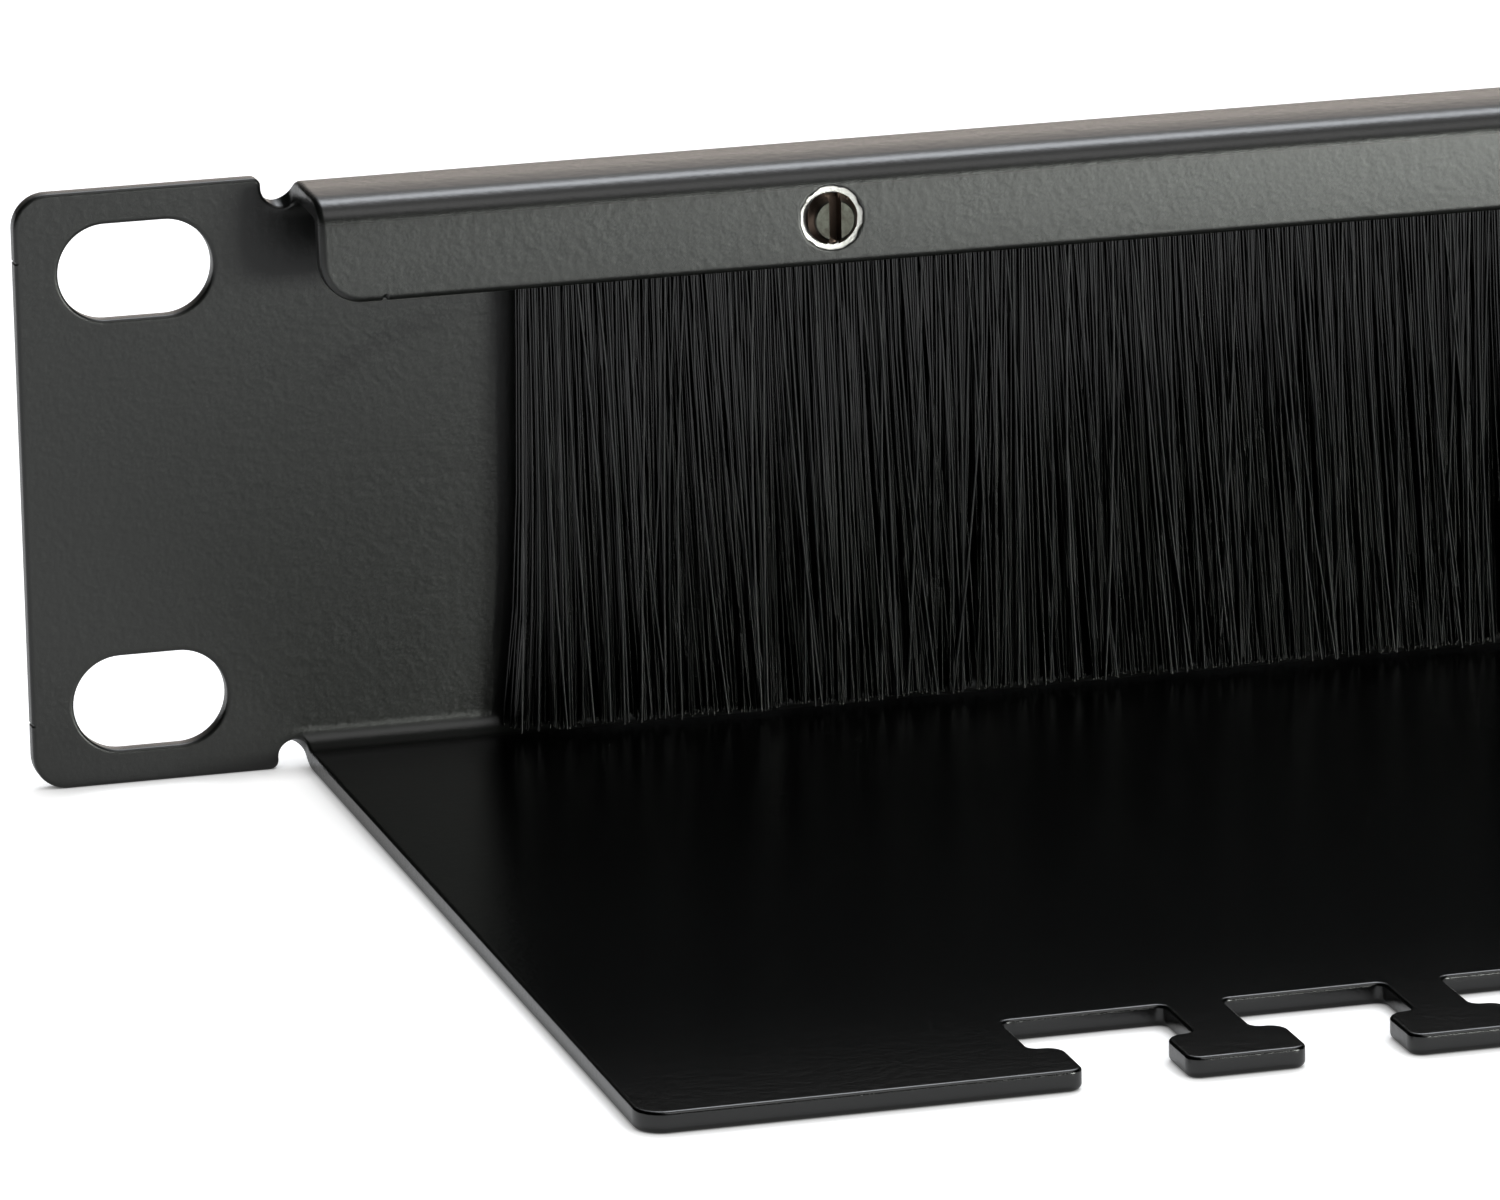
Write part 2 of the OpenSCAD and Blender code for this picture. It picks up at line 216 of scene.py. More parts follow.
# ---------------------------------------------------------------- materials
def powder_coat():
    """Satin black powder coat: fine grain, orange peel, uneven gloss, one faint scuff and painted shade that
    makes the tray darker.
    """
    m, nodes, links, skin = new_material("powder_coat")
    maths, graded = partial(combine, m.node_tree), partial(grade, m.node_tree)
    skin.inputs["IOR"].default_value = 1.58
    where, place = object_place(nodes, links)

    # tray and flange lay flat in the oven, so their coat flowed out glossier than on the upright faces
    ahead = graded(place["Y"], *COAT_AHEAD, soft=True)
    tray = maths("MULTIPLY", ahead, graded(place["Z"], *COAT_TRAY, soft=True))
    flange = maths("MULTIPLY", ahead, graded(place["Z"], *COAT_FLANGE, high=0.8, soft=True))
    lying = maths("ADD", tray, flange)
    links.new(graded(lying, 0.0, 1.0, FACE_ROUGHNESS, TRAY_ROUGHNESS), skin.inputs["Roughness"])

    def distance(x, z):
        n = node(nodes, "ShaderNodeVectorMath", operation="DISTANCE")
        n.inputs[1].default_value = (x * MM, 0, z * MM)
        links.new(where, n.inputs[0])
        return n.outputs["Value"]

    # a faint arc on the plate where something rubbed past it
    beside = maths("ABSOLUTE", maths("SUBTRACT", distance(*SCUFF_CENTRE), SCUFF_RADIUS * MM))
    rubbed = maths("MULTIPLY", graded(beside, 0.2 * MM, 1.2 * MM, 1.0, 0.0, soft=True),
                   graded(distance(*SCUFF_MIDDLE), 2.5 * MM, 7.5 * MM, 1.0, 0.0, soft=True))
    streaks = noise_at(nodes, links, where, in_Scale=900.0, in_Detail=3.0)
    # the tray takes the darker colour as painted shade; the arc is a real scuff
    scuff_and_tray_shade = maths("MAXIMUM", maths("MULTIPLY", rubbed, streaks), tray)
    links.new(ramp(m.node_tree, scuff_and_tray_shade, FACE_COLOUR, SCUFF_AND_TRAY_SHADE_COLOUR, end=0.5), skin.inputs["Base Color"])

    peel = noise_at(nodes, links, where, in_Scale=1500.0, in_Detail=2.0, in_Roughness=0.5)
    dust = noise_at(nodes, links, where, in_Scale=3200.0, in_Detail=3.0, in_Roughness=0.6)
    flow = node(nodes, "ShaderNodeBump", in_Strength=0.65, in_Distance=0.03 * MM)
    swell = node(nodes, "ShaderNodeBump", in_Strength=1.0, in_Distance=0.008 * MM)
    links.new(peel, flow.inputs["Height"])
    links.new(dust, swell.inputs["Height"])
    links.new(flow.outputs["Normal"], swell.inputs["Normal"])

    # the powder's grain is finer than the eye resolves: each grain tips the surface its own way
    grain = node(nodes, "ShaderNodeTexWhiteNoise", noise_dimensions="3D")
    again = node(nodes, "ShaderNodeTexWhiteNoise", noise_dimensions="3D")
    both = node(nodes, "ShaderNodeVectorMath", operation="ADD")
    level = node(nodes, "ShaderNodeVectorMath", operation="SUBTRACT")
    tipped = node(nodes, "ShaderNodeVectorMath", operation="SCALE")
    shape = node(nodes, "ShaderNodeVectorMath", operation="ADD")
    even = node(nodes, "ShaderNodeVectorMath", operation="NORMALIZE")
    links.new(where, grain.inputs["Vector"])
    links.new(grain.outputs["Color"], again.inputs["Vector"])
    links.new(grain.outputs["Color"], both.inputs[0])
    links.new(again.outputs["Color"], both.inputs[1])
    links.new(both.outputs[0], level.inputs[0])
    level.inputs[1].default_value = (1, 1, 1)            # the mean of the two added colours
    links.new(level.outputs[0], tipped.inputs[0])
    links.new(graded(lying, 0.0, 1.0, FACE_GRAIN, TRAY_GRAIN), tipped.inputs["Scale"])
    links.new(swell.outputs["Normal"], shape.inputs[0])
    links.new(tipped.outputs[0], shape.inputs[1])
    links.new(shape.outputs[0], even.inputs[0])
    links.new(even.outputs[0], skin.inputs["Normal"])
    return m


def bare_steel():
    """Turned steel: bright on the countersink, darker and browner down in the thread, painted shade of the
    hole.
    """
    m, nodes, links, skin = new_material("bare_steel")
    graded = partial(grade, m.node_tree)
    skin.inputs["Metallic"].default_value = 1.0
    where, place = object_place(nodes, links)
    # painted shade: the steel is coloured darker and browner the deeper it lies in the hole
    painted_hole_shade = graded(place["Y"], (LIP_Y + 0.25) * MM, (LIP_Y + 0.7) * MM)
    links.new(ramp(m.node_tree, painted_hole_shade, (0.62, 0.61, 0.59), (0.24, 0.13, 0.09)), skin.inputs["Base Color"])
    marks = noise_at(nodes, links, where, in_Scale=5200.0, in_Detail=3.0)
    links.new(graded(marks, 0.0, 1.0, 0.15, 0.62), skin.inputs["Roughness"])
    ridges = node(nodes, "ShaderNodeBump", in_Strength=0.5, in_Distance=0.04 * MM)
    links.new(marks, ridges.inputs["Height"])
    links.new(ridges.outputs[0], skin.inputs["Normal"])
    return m


def screw_steel():
    """Steel greyed and browned by heat treatment, rusty behind its face, with faint turning marks."""
    m, nodes, links, skin = new_material("screw_steel")
    graded = partial(grade, m.node_tree)
    skin.inputs["Metallic"].default_value = 1.0
    where, place = object_place(nodes, links)
    stain = noise_at(nodes, links, where, in_Scale=1500.0, in_Detail=4.0, in_Roughness=0.65)
    rust = node(nodes, "ShaderNodeMix", data_type="RGBA")
    links.new(graded(place["Y"], (SCREW_OUT + 0.04) * MM, (SCREW_OUT + 0.2) * MM), rust.inputs["Factor"])
    links.new(ramp(m.node_tree, stain, (0.060, 0.056, 0.046), (0.135, 0.140, 0.120), 0.32, 0.68),
              rust.inputs["A"])
    rust.inputs["B"].default_value = (0.13, 0.095, 0.074, 1)
    links.new(rust.outputs["Result"], skin.inputs["Base Color"])
    links.new(graded(stain, 0.0, 1.0, 0.34, 0.5), skin.inputs["Roughness"])
    marks = node(nodes, "ShaderNodeBump", in_Strength=0.4, in_Distance=0.03 * MM)
    links.new(stain, marks.inputs["Height"])
    links.new(marks.outputs[0], skin.inputs["Normal"])
    return m


def zinc_plate():
    m, nodes, links, skin = new_material("zinc_plate")
    skin.inputs["Metallic"].default_value = 1.0
    skin.inputs["Base Color"].default_value = (0.55, 0.56, 0.56, 1)
    skin.inputs["Roughness"].default_value = 0.38
    return m


def nylon(name, black, glossiest, dullest):
    """Drawn nylon: how black it is, and the roughness of its glossiest and of its dullest filament."""
    m, nodes, links, skin = new_material(name)
    graded = partial(grade, m.node_tree)
    skin.inputs["IOR"].default_value = 1.6
    where, place = object_place(nodes, links)
    # painted glints: specks near the cut ends are coloured lighter, standing in for the light they catch
    end = graded(place["Z"], (TIP_Z + 0.9) * MM, TIP_Z * MM)
    speck = noise_at(nodes, links, where, in_Scale=3800.0, in_Detail=1.0)
    painted_tip_glint = combine(m.node_tree, "MULTIPLY", end, speck)
    links.new(ramp(m.node_tree, painted_tip_glint, (black, black, black * 1.1), (0.16, 0.16, 0.15), 0.44, 0.62),
              skin.inputs["Base Color"])
    # each filament has its own gloss, much the same along its length
    drawn = node(nodes, "ShaderNodeMapping")
    drawn.inputs["Scale"].default_value = (1, 1, 0.04)
    links.new(where, drawn.inputs["Vector"])
    sheen = noise_at(nodes, links, drawn.outputs[0], in_Scale=3000.0, in_Detail=1.0)
    links.new(graded(sheen, 0.55, 0.72, glossiest, dullest), skin.inputs["Roughness"])
    return m


def floor_white():
    """White paper, lifted to pure white where it is looked at or mirrored; shadows still fall on it, and the
    lift fades by ambient occlusion beside the object, a painted contact shadow.
    """
    m, nodes, links, skin = new_material("floor_white")
    maths = partial(combine, m.node_tree)
    skin.inputs["Base Color"].default_value = (0.86, 0.86, 0.86, 1)
    skin.inputs["Roughness"].default_value = 0.9
    skin.inputs["Specular IOR Level"].default_value = 0.0
    skin.inputs["Emission Color"].default_value = (1, 1, 1, 1)
    path = node(nodes, "ShaderNodeLightPath").outputs
    lift = maths("ADD", maths("MULTIPLY", path["Is Camera Ray"], FLOOR_LIFT_SEEN),
                 maths("MULTIPLY", path["Is Glossy Ray"], FLOOR_LIFT_MIRRORED))
    # painted contact shadow: ambient occlusion dims the lift within 4 mm of the object
    painted_contact_shade = node(nodes, "ShaderNodeAmbientOcclusion", in_Distance=4 * MM)
    links.new(maths("MULTIPLY", lift, painted_contact_shade.outputs["AO"]), skin.inputs["Emission Strength"])
    return m


# ---------------------------------------------------------------- outlines of the flat blank
def rounded(corners, fineness=8):
    """Points and outward normals of a closed outline.

    Each corner is x, v, radius, and the sheet lies to the left. An arc with enough room beside it gets a
    guard point on either side, so that the straight edge keeps its own flat band.
    """
    points, normals = [], []
    n = len(corners)
    for i in range(n):
        x, v, r = corners[i]
        here = np.array((x, v))
        before = here - corners[i - 1][:2]
        after = np.array(corners[(i + 1) % n][:2]) - here
        d1, d2 = before / np.linalg.norm(before), after / np.linalg.norm(after)
        turn = math.atan2(d1[0] * d2[1] - d1[1] * d2[0], d1 @ d2)
        out = np.array((d1[1], -d1[0]))
        side = math.copysign(1, turn)
        centre = here - d1 * r * math.tan(abs(turn) / 2) - side * out * r
        steps = max(4, round(fineness * min(1.5, max(0.6, r / 1.2)) * abs(turn) / (math.pi / 2)))
        room = [np.linalg.norm(d) / 2 - r > GUARD_ROOM for d in (before, after)]
        for k in range(-1, steps + 2):
            a = turn * min(steps, max(0, k)) / steps
            normal = np.array((out[0] * math.cos(a) - out[1] * math.sin(a),
                               out[0] * math.sin(a) + out[1] * math.cos(a)))
            beside = 0.0
            if k < 0 and room[0]:
                beside = -EDGE_BAND
            elif k > steps and room[1]:
                beside = EDGE_BAND
            elif k < 0 or k > steps:
                continue
            points.append(centre + side * normal * r + beside * (d1 if k < 0 else d2))
            normals.append(normal)
    return np.array(points), np.array(normals)


def hole(corners, fineness=8):
    """An outline round a hole: the same corners the other way round, so the sheet stays to the left."""
    return rounded(corners[::-1], fineness)


def blank_outline():
    """Edge of the whole blank, counter-clockwise in x and v."""
    # the notches end in full rounds, a hair under half their width so that the two arcs don't meet
    upper, lower = ((NOTCH_SIDE - side) / 2 - 0.005 for side in (HALF_LIP, HALF_BODY))
    right = [(HALF_PANEL, -HALF_HEIGHT, EAR_CORNER), (HALF_PANEL, HALF_HEIGHT, EAR_CORNER),
             (NOTCH_SIDE, HALF_HEIGHT, NOTCH_CORNER), (NOTCH_SIDE, NOTCH_END, upper),
             (HALF_LIP, NOTCH_END, upper), (HALF_LIP, LIP_END, LIP_CORNER)]
    head, root = TRAY_END + HEAD_DEPTH, TRAY_END + HEAD_DEPTH + STEM_DEPTH
    cut_out = [(MOUTH, TRAY_END, 1.0), (MOUTH, head, 1.3), (THROAT, head, 0.75), (THROAT, root, 0.6)]
    front = []
    for i in reversed(range(TIE_COUNT)):
        c = TIE_FIRST - i * TIE_PITCH
        front += [(c - x, v, r) for x, v, r in cut_out] + [(c + x, v, r) for x, v, r in cut_out[::-1]]
    front += [(HALF_BODY, TRAY_END, TRAY_CORNER), (HALF_BODY, -NOTCH_END, lower),
              (NOTCH_SIDE, -NOTCH_END, lower), (NOTCH_SIDE, -HALF_HEIGHT, NOTCH_CORNER)]
    half = front + right
    return half + [(-x, v, r) for x, v, r in half[::-1]]


def nicked(points, normals, spots):
    """Adds points round the cutter's nicks, each x, v, radius, and says how far the edge is cut back."""
    out_p, out_n, depth = [], [], []
    n = len(points)
    for i in range(n):
        a, b = points[i], points[(i + 1) % n]
        out_p.append(a)
        out_n.append(normals[i])
        depth.append(0.0)
        run = b - a
        length = np.linalg.norm(run)
        for *spot, reach in sorted(spots, key=lambda spot: (np.array(spot[:2]) - a) @ run):
            along = (np.array(spot) - a) @ run / max(length, 1e-9)
            away = abs((np.array(spot) - a) @ np.array((run[1], -run[0]))) / max(length, 1e-9)
            if away < 0.05 and reach < along < length - reach:
                for k in range(-6, 7):       # nine points across the nick and two more on either side
                    s = reach * max(-4, min(4, k)) / 4 + 0.06 * (max(4, k) + min(-4, k))
                    out_p.append(a + run * (along + s) / length)
                    out_n.append(normals[i])
                    depth.append(math.sqrt(max(0.0, reach ** 2 - s ** 2)))
    return np.array(out_p), np.array(out_n), np.array(depth)


# ---------------------------------------------------------------- folding
def crown(y):
    """How far the flange, pulled round by its two folds, drops at y, and how steeply it does."""
    off = abs(y - CROWN_Y)
    return off * off / (2 * CROWN_R), off / CROWN_R


def ease(s, length, drop, slope):
    """A drop that runs on at its slope and has died away at the end of a fold."""
    t = s / length
    return drop * (2 * t ** 3 - 3 * t * t + 1) + slope * length * (t ** 3 - 2 * t * t + t)


def fold_point(x, v, w):
    """Place of a point of the blank once it is folded; w runs through the sheet, 0 on the inner face."""
    flat = (x, w, v)
    if abs(v) <= FACE_END:
        return flat
    r = BEND + w
    if v > 0:
        if v <= FLANGE_START:
            a = (v - FACE_END) / NEUTRAL
            y, z = -BEND + r * math.cos(a), FACE_END + r * math.sin(a)
            z -= ease(FLANGE_START - v, FOLD, *crown(-BEND))
        elif v <= FLANGE_END:
            y, z = -BEND - (v - FLANGE_START), FACE_END + r
            z -= crown(y)[0]
        elif v <= LIP_START:
            a, r = (v - FLANGE_END) / LIP_NEUTRAL, LIP_BEND + w
            y, z = -BEND - FLANGE - r * math.sin(a), LIP_TOP + r * math.cos(a)
            z -= ease(v - FLANGE_END, LIP_FOLD, *crown(-BEND - FLANGE))
            y -= ease(LIP_START - v, LIP_FOLD, 0.0, -LIP_LEAN - LIP_SOFT)
        else:
            s = v - LIP_START
            y, z = -BEND - FLANGE - LIP_BEND - w, LIP_TOP - s
            y -= LIP_LEAN * s - LIP_EASE * s * s + LIP_SOFT * LIP_SETTLE * (1 - math.exp(-s / LIP_SETTLE))
    elif v >= TRAY_START:
        a = (-FACE_END - v) / NEUTRAL
        y, z = -BEND + r * math.cos(a), -FACE_END - r * math.sin(a)
    else:
        y, z = -BEND - (TRAY_START - v), -FACE_END - r
    # across the notches the folds flatten out into the ears
    t = min(1.0, max(0.0, (abs(x) - HALF_BODY) / (NOTCH_SIDE - HALF_BODY)))
    t = t * t * (3 - 2 * t)
    return (x, y + (flat[1] - y) * t, z + (flat[2] - z) * t)


def unfold_lip(x, y, z):
    """The inverse of fold_point on the lip and the fold above it."""
    if z <= LIP_TOP:
        return (x, LIP_START + LIP_TOP - z, -BEND - FLANGE - LIP_BEND - y)
    reach = -(y + BEND + FLANGE)
    r, a = math.hypot(reach, z - LIP_TOP), math.atan2(z - LIP_TOP, reach)
    return (x, LIP_START - a * LIP_NEUTRAL, r - LIP_BEND)


def lip_surface(z, w):
    """Y of the lip's face at height z, w deep in the sheet."""
    r = LIP_BEND + w
    rise = max(0.0, z - LIP_TOP)
    return -BEND - FLANGE - math.sqrt(max(0.0, r * r - rise * rise))


# ---------------------------------------------------------------- the folded sheet
def bridge(bm, rings, material=0):
    """Joins each closed ring of vertices to the next one."""
    for a, b in zip(rings, rings[1:]):
        for i in range(len(a)):
            j = (i + 1) % len(a)
            bm.faces.new((a[i], a[j], b[j], b[i])).material_index = material


def cut_edge(bm, points, normals, depth=0.0):
    """A cut edge with both its corners rounded, nicked to a depth. Returns its outer and its inner rim."""
    def quarter(b):
        return [(b + EDGE_BAND, 0.0, 0.0), (b, 0.0, 0.5)] + [
            (b * (1 - math.sin(a)), b * (1 - math.cos(a)), 1.0)
            for a in (math.pi / 2 * k / EDGE_STEPS for k in range(1, EDGE_STEPS + 1))]

    profile = [(inset, SHEET - w, cut) for inset, w, cut in quarter(OUTER_ROUND)]
    profile += quarter(INNER_ROUND)[::-1]
    rings = []
    for inset, w, cut in profile:
        back = np.broadcast_to(inset + depth * cut, len(points))
        rings.append([bm.verts.new((*p, w)) for p in points - normals * back[:, None]])
    bridge(bm, rings)
    return rings[0], rings[-1]


def tapped_hole(bm, x, rng):
    """A screw's hole: the coat ends at a chipped rim, and a nearly flat ring of bare steel leads inside."""
    turn = np.arange(HOLE_STEPS) * 2 * math.pi / HOLE_STEPS
    chip = sum(rng.normal(0, 0.016) * np.sin(k * turn + rng.uniform(0, 6.3)) for k in range(2, 15))

    def around(radius, depth, w=SHEET):
        """A ring at a depth below the face of the lip; depth None follows the surface that is w deep."""
        ring = []
        for a, r in zip(turn, np.broadcast_to(radius, turn.shape)):
            px, pz = x + r * math.sin(a), SCREW_Z + r * math.cos(a)
            surface = lip_surface(pz, w)
            y = surface if depth is None else max(surface, LIP_Y) + depth
            ring.append(bm.verts.new(unfold_lip(px, y, pz)))
        return ring

    rim = SINK_R + np.clip(chip, -0.12, 0.12)
    coated = [around(SINK_R + 0.2, None), around(rim + 0.03, None), around(rim, 0.02),
              around(rim - 0.02, 0.045)]
    bridge(bm, coated)
    edge = SINK_R - 0.06
    bare = [around(edge + (HOLE_R - edge) * t, 0.055 + 0.045 * t) for t in (0, 0.25, 0.5, 0.75, 1)]
    bare += [around(HOLE_R, 1.0), around(HOLE_R, None, w=0.0)]
    bridge(bm, coated[-1:] + bare, 1)
    return coated[0], bare[-1]


def fill_face(bm, rims):
    """Fills one face of the blank: inside the first rim and outside all others."""
    flat, edges, owner = [], [], []
    for k, rim in enumerate(rims):
        start = len(flat)
        flat += rim
        owner += [k] * len(rim)
        edges += [(start + i, start + (i + 1) % len(rim)) for i in range(len(rim))]
    filled = delaunay_2d_cdt([v.co.xy for v in flat], edges, [], 1, 1e-7)
    for tri in filled[2]:
        corners = [filled[3][i][0] for i in tri]
        rims_met = {owner[i] for i in corners}
        if len(rims_met) > 1 or 0 in rims_met:       # else it lies inside a hole
            bm.faces.new([flat[i] for i in corners])


def sheet_mesh(coat, steel):
    """The whole sheet, made flat with its edges and holes, cut into strips and then folded."""
    bm = bmesh.new()
    spots = [(s * LIP_NICK[0], LIP_END, LIP_NICK[1]) for s in (-1, 1)]
    spots += [(s * HALF_PANEL, t * EAR_NICK[0], EAR_NICK[1]) for s in (-1, 1) for t in (-1, 1)]
    rims = [cut_edge(bm, *nicked(*rounded(blank_outline()), spots))]

    half, low, high, r = WINDOW
    rims.append(cut_edge(bm, *hole([(half, low, r), (half, high, r), (-half, high, r), (-half, low, r)])))

    w, h = SLOT_REACH + SLOT_R, SLOT_R
    r = SLOT_R - 0.001                       # a hair under half the height, so that the arcs don't meet
    for x in (-SLOT_X, SLOT_X):
        for z in (-SLOT_Z, SLOT_Z):
            slot = [(x + w, z - h, r), (x + w, z + h, r), (x - w, z + h, r), (x - w, z - h, r)]
            rims.append(cut_edge(bm, *hole(slot, 10)))

    rng = np.random.default_rng(11)
    rims += [tapped_hole(bm, x, rng) for x in SCREW_X]
    for one_side in zip(*rims):
        fill_face(bm, one_side)

    # cuts across the blank, each an axis and a place, that let it bend smoothly
    cuts = [(1, s * (FACE_END + FOLD * k / 12)) for s in (-1, 1) for k in range(13)]
    cuts += [(1, FLANGE_END + LIP_FOLD * k / 12) for k in range(13)]
    cuts += [(1, s * (FACE_END - EDGE_BAND)) for s in (-1, 1)]
    cuts += [(1, LIP_START + s) for s in (0.3, 0.55, 0.9, 1.4, 2.2)]
    cuts += [(1, FLANGE_START + EDGE_BAND), (1, FLANGE_END - EDGE_BAND), (1, LIP_START + EDGE_BAND),
             (1, TRAY_START - EDGE_BAND)]
    cuts += [(0, s * (HALF_BODY + (NOTCH_SIDE - HALF_BODY) * k / 5)) for s in (-1, 1) for k in range(6)]
    for axis, at in cuts:
        spot, normal = [0, 0, 0], [0, 0, 0]
        spot[axis], normal[axis] = at, 1
        bmesh.ops.bisect_plane(bm, geom=bm.verts[:] + bm.edges[:] + bm.faces[:], dist=1e-5,
                               plane_co=spot, plane_no=normal)

    for v in bm.verts:
        v.co = Vector(fold_point(*v.co)) * MM
    bmesh.ops.triangulate(bm, faces=[f for f in bm.faces if len(f.verts) > 4])
    bmesh.ops.recalc_face_normals(bm, faces=bm.faces[:])
    for f in bm.faces:
        f.smooth = True
    mesh = bpy.data.meshes.new("folded_sheet")
    bm.to_mesh(mesh)
    bm.free()
    mesh.materials.append(coat)
    mesh.materials.append(steel)
    return mesh


def add_piece(name, mesh):
    obj = bpy.data.objects.new(name, mesh)
    bpy.context.scene.collection.objects.link(obj)
    return obj


# ---------------------------------------------------------------- set screws
def screw_mesh(material, bright, x, seed):
    """A headless M4 screw: rolled thread, chamfered ends, a driver slot with swarf left in and round it."""
    length = SCREW_IN - SCREW_OUT
    steps = round(length / THREAD_PITCH * 8)
    bm = bmesh.new()
    rings = []
    for k in range(steps + 1):
        s = length * k / steps
        end = min(s, length - s)
        ring = []
        for i in range(SCREW_STEPS):
            a = 2 * math.pi * i / SCREW_STEPS
            phase = (s / THREAD_PITCH + a / (2 * math.pi)) % 1.0
            ridge = 1 - abs(2 * phase - 1)
            r = THREAD_ROOT + (THREAD_CREST - THREAD_ROOT) * min(1.0, max(0.0, ridge * 1.5 - 0.25))
            r = min(r, 1.4 + end * 0.95)             # both ends are chamfered
            ring.append(bm.verts.new((r * math.sin(a), s, r * math.cos(a))))
        rings.append(ring)
    bridge(bm, rings)
    for ring in (rings[0], rings[-1]):
        mid = bm.verts.new((0, ring[0].co.y, 0))
        for i in range(SCREW_STEPS):
            bm.faces.new((ring[i], ring[(i + 1) % SCREW_STEPS], mid))
    bmesh.ops.recalc_face_normals(bm, faces=bm.faces[:])
    body = bpy.data.meshes.new("screw")
    bm.to_mesh(body)
    bm.free()
    blade = bmesh.new()
    bmesh.ops.create_cube(blade, size=1)
    for v in blade.verts:
        v.co = Vector((v.co.x * DRIVER_SLOT[0], v.co.y * 2 * DRIVER_SLOT[1], v.co.z * 6))
    cutter = bpy.data.meshes.new("cutter")
    blade.to_mesh(cutter)
    blade.free()
    one, two = add_piece("screw_tmp", body), add_piece("cutter_tmp", cutter)
    cut = one.modifiers.new("slot", "BOOLEAN")
    cut.operation, cut.solver, cut.object = "DIFFERENCE", "EXACT", two
    bpy.context.view_layer.update()
    mesh = bpy.data.meshes.new_from_object(one.evaluated_get(bpy.context.evaluated_depsgraph_get()))
    bpy.data.objects.remove(one)
    bpy.data.objects.remove(two)
    whole = bmesh.new()
    whole.from_mesh(mesh)
    for f in whole.faces:
        f.material_index = 0
    rng = np.random.default_rng(seed)
    for px, y, pz, size in SWARF:
        lump = bmesh.ops.create_icosphere(whole, subdivisions=2, radius=size)["verts"]
        for v in lump:
            v.co *= 1 + rng.normal(0, 0.16)
            v.co = Vector((v.co.x * 1.1 + px, v.co.y * 0.6 + y, v.co.z * 0.7 + pz))
        for f in {f for v in lump for f in v.link_faces}:
            f.material_index = 1
    whole.to_mesh(mesh)
    whole.free()
    mesh.transform(Matrix.Translation((x, SCREW_OUT, SCREW_Z)))
    mesh.transform(Matrix.Scale(MM, 4))
    mesh.materials.clear()
    mesh.materials.append(material)
    mesh.materials.append(bright)
    for p in mesh.polygons:
        p.use_smooth = True
    mesh.set_sharp_from_angle(angle=math.radians(42))
    return mesh


